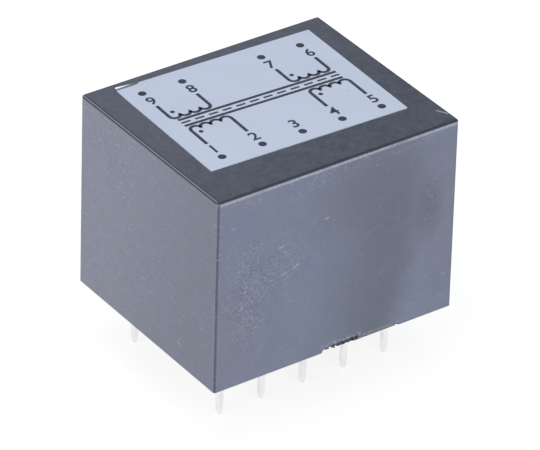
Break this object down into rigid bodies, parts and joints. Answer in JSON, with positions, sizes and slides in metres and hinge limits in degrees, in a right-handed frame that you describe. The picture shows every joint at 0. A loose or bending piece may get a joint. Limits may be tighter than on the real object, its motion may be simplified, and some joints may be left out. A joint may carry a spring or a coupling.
{
  "type": "pcb transformer",
  "caption": "Potted board-mounting transformer: a coil and laminated core cast in resin inside a rectangular moulded case, with square solder pins below.",
  "frame": {"origin": "middle of the case's rim, in the plane where the case seats on a circuit board", "axes": "+X along the case's long side, with the row of five pins on the -Y side; +Z from the board up to the labelled top"},
  "size_m": [0.029, 0.0242, 0.0287],
  "materials": {
    "case_plastic": "matte slate-grey moulding with a pale bloom on the sides",
    "resin": "self-levelled black casting resin",
    "label_film": "pale blue-grey satin film, printed in blue-black",
    "bobbin_nylon": "black glass-filled nylon",
    "copper_wire": "enamelled copper wire",
    "copper_foil": "bright copper foil",
    "tape": "yellow polyester tape",
    "core_steel": "annealed electrical steel",
    "lead_sleeve": "thin wire insulation",
    "tinned_pin": "bright tin plate"
  },
  "bodies": {
    "root": {"case": "case_plastic", "potting_resin": "resin", "label": "label_film", "bobbin": "bobbin_nylon", "primary_winding_a": "copper_wire", "secondary_winding_a": "copper_wire", "screen_foil": "copper_foil", "primary_winding_b": "copper_wire", "secondary_winding_b": "copper_wire", "layer_tapes": "tape", "outer_wrap": "tape", "e_laminations_front": "core_steel", "i_laminations_back": "core_steel", "e_laminations_back": "core_steel", "i_laminations_front": "core_steel", "lead_outs": "lead_sleeve", "pin_1": "tinned_pin", "pin_2": "tinned_pin", "pin_3": "tinned_pin", "pin_4": "tinned_pin", "pin_5": "tinned_pin", "pin_6": "tinned_pin", "pin_7": "tinned_pin", "pin_8": "tinned_pin", "pin_9": "tinned_pin"}
  },
  "joints": []
}
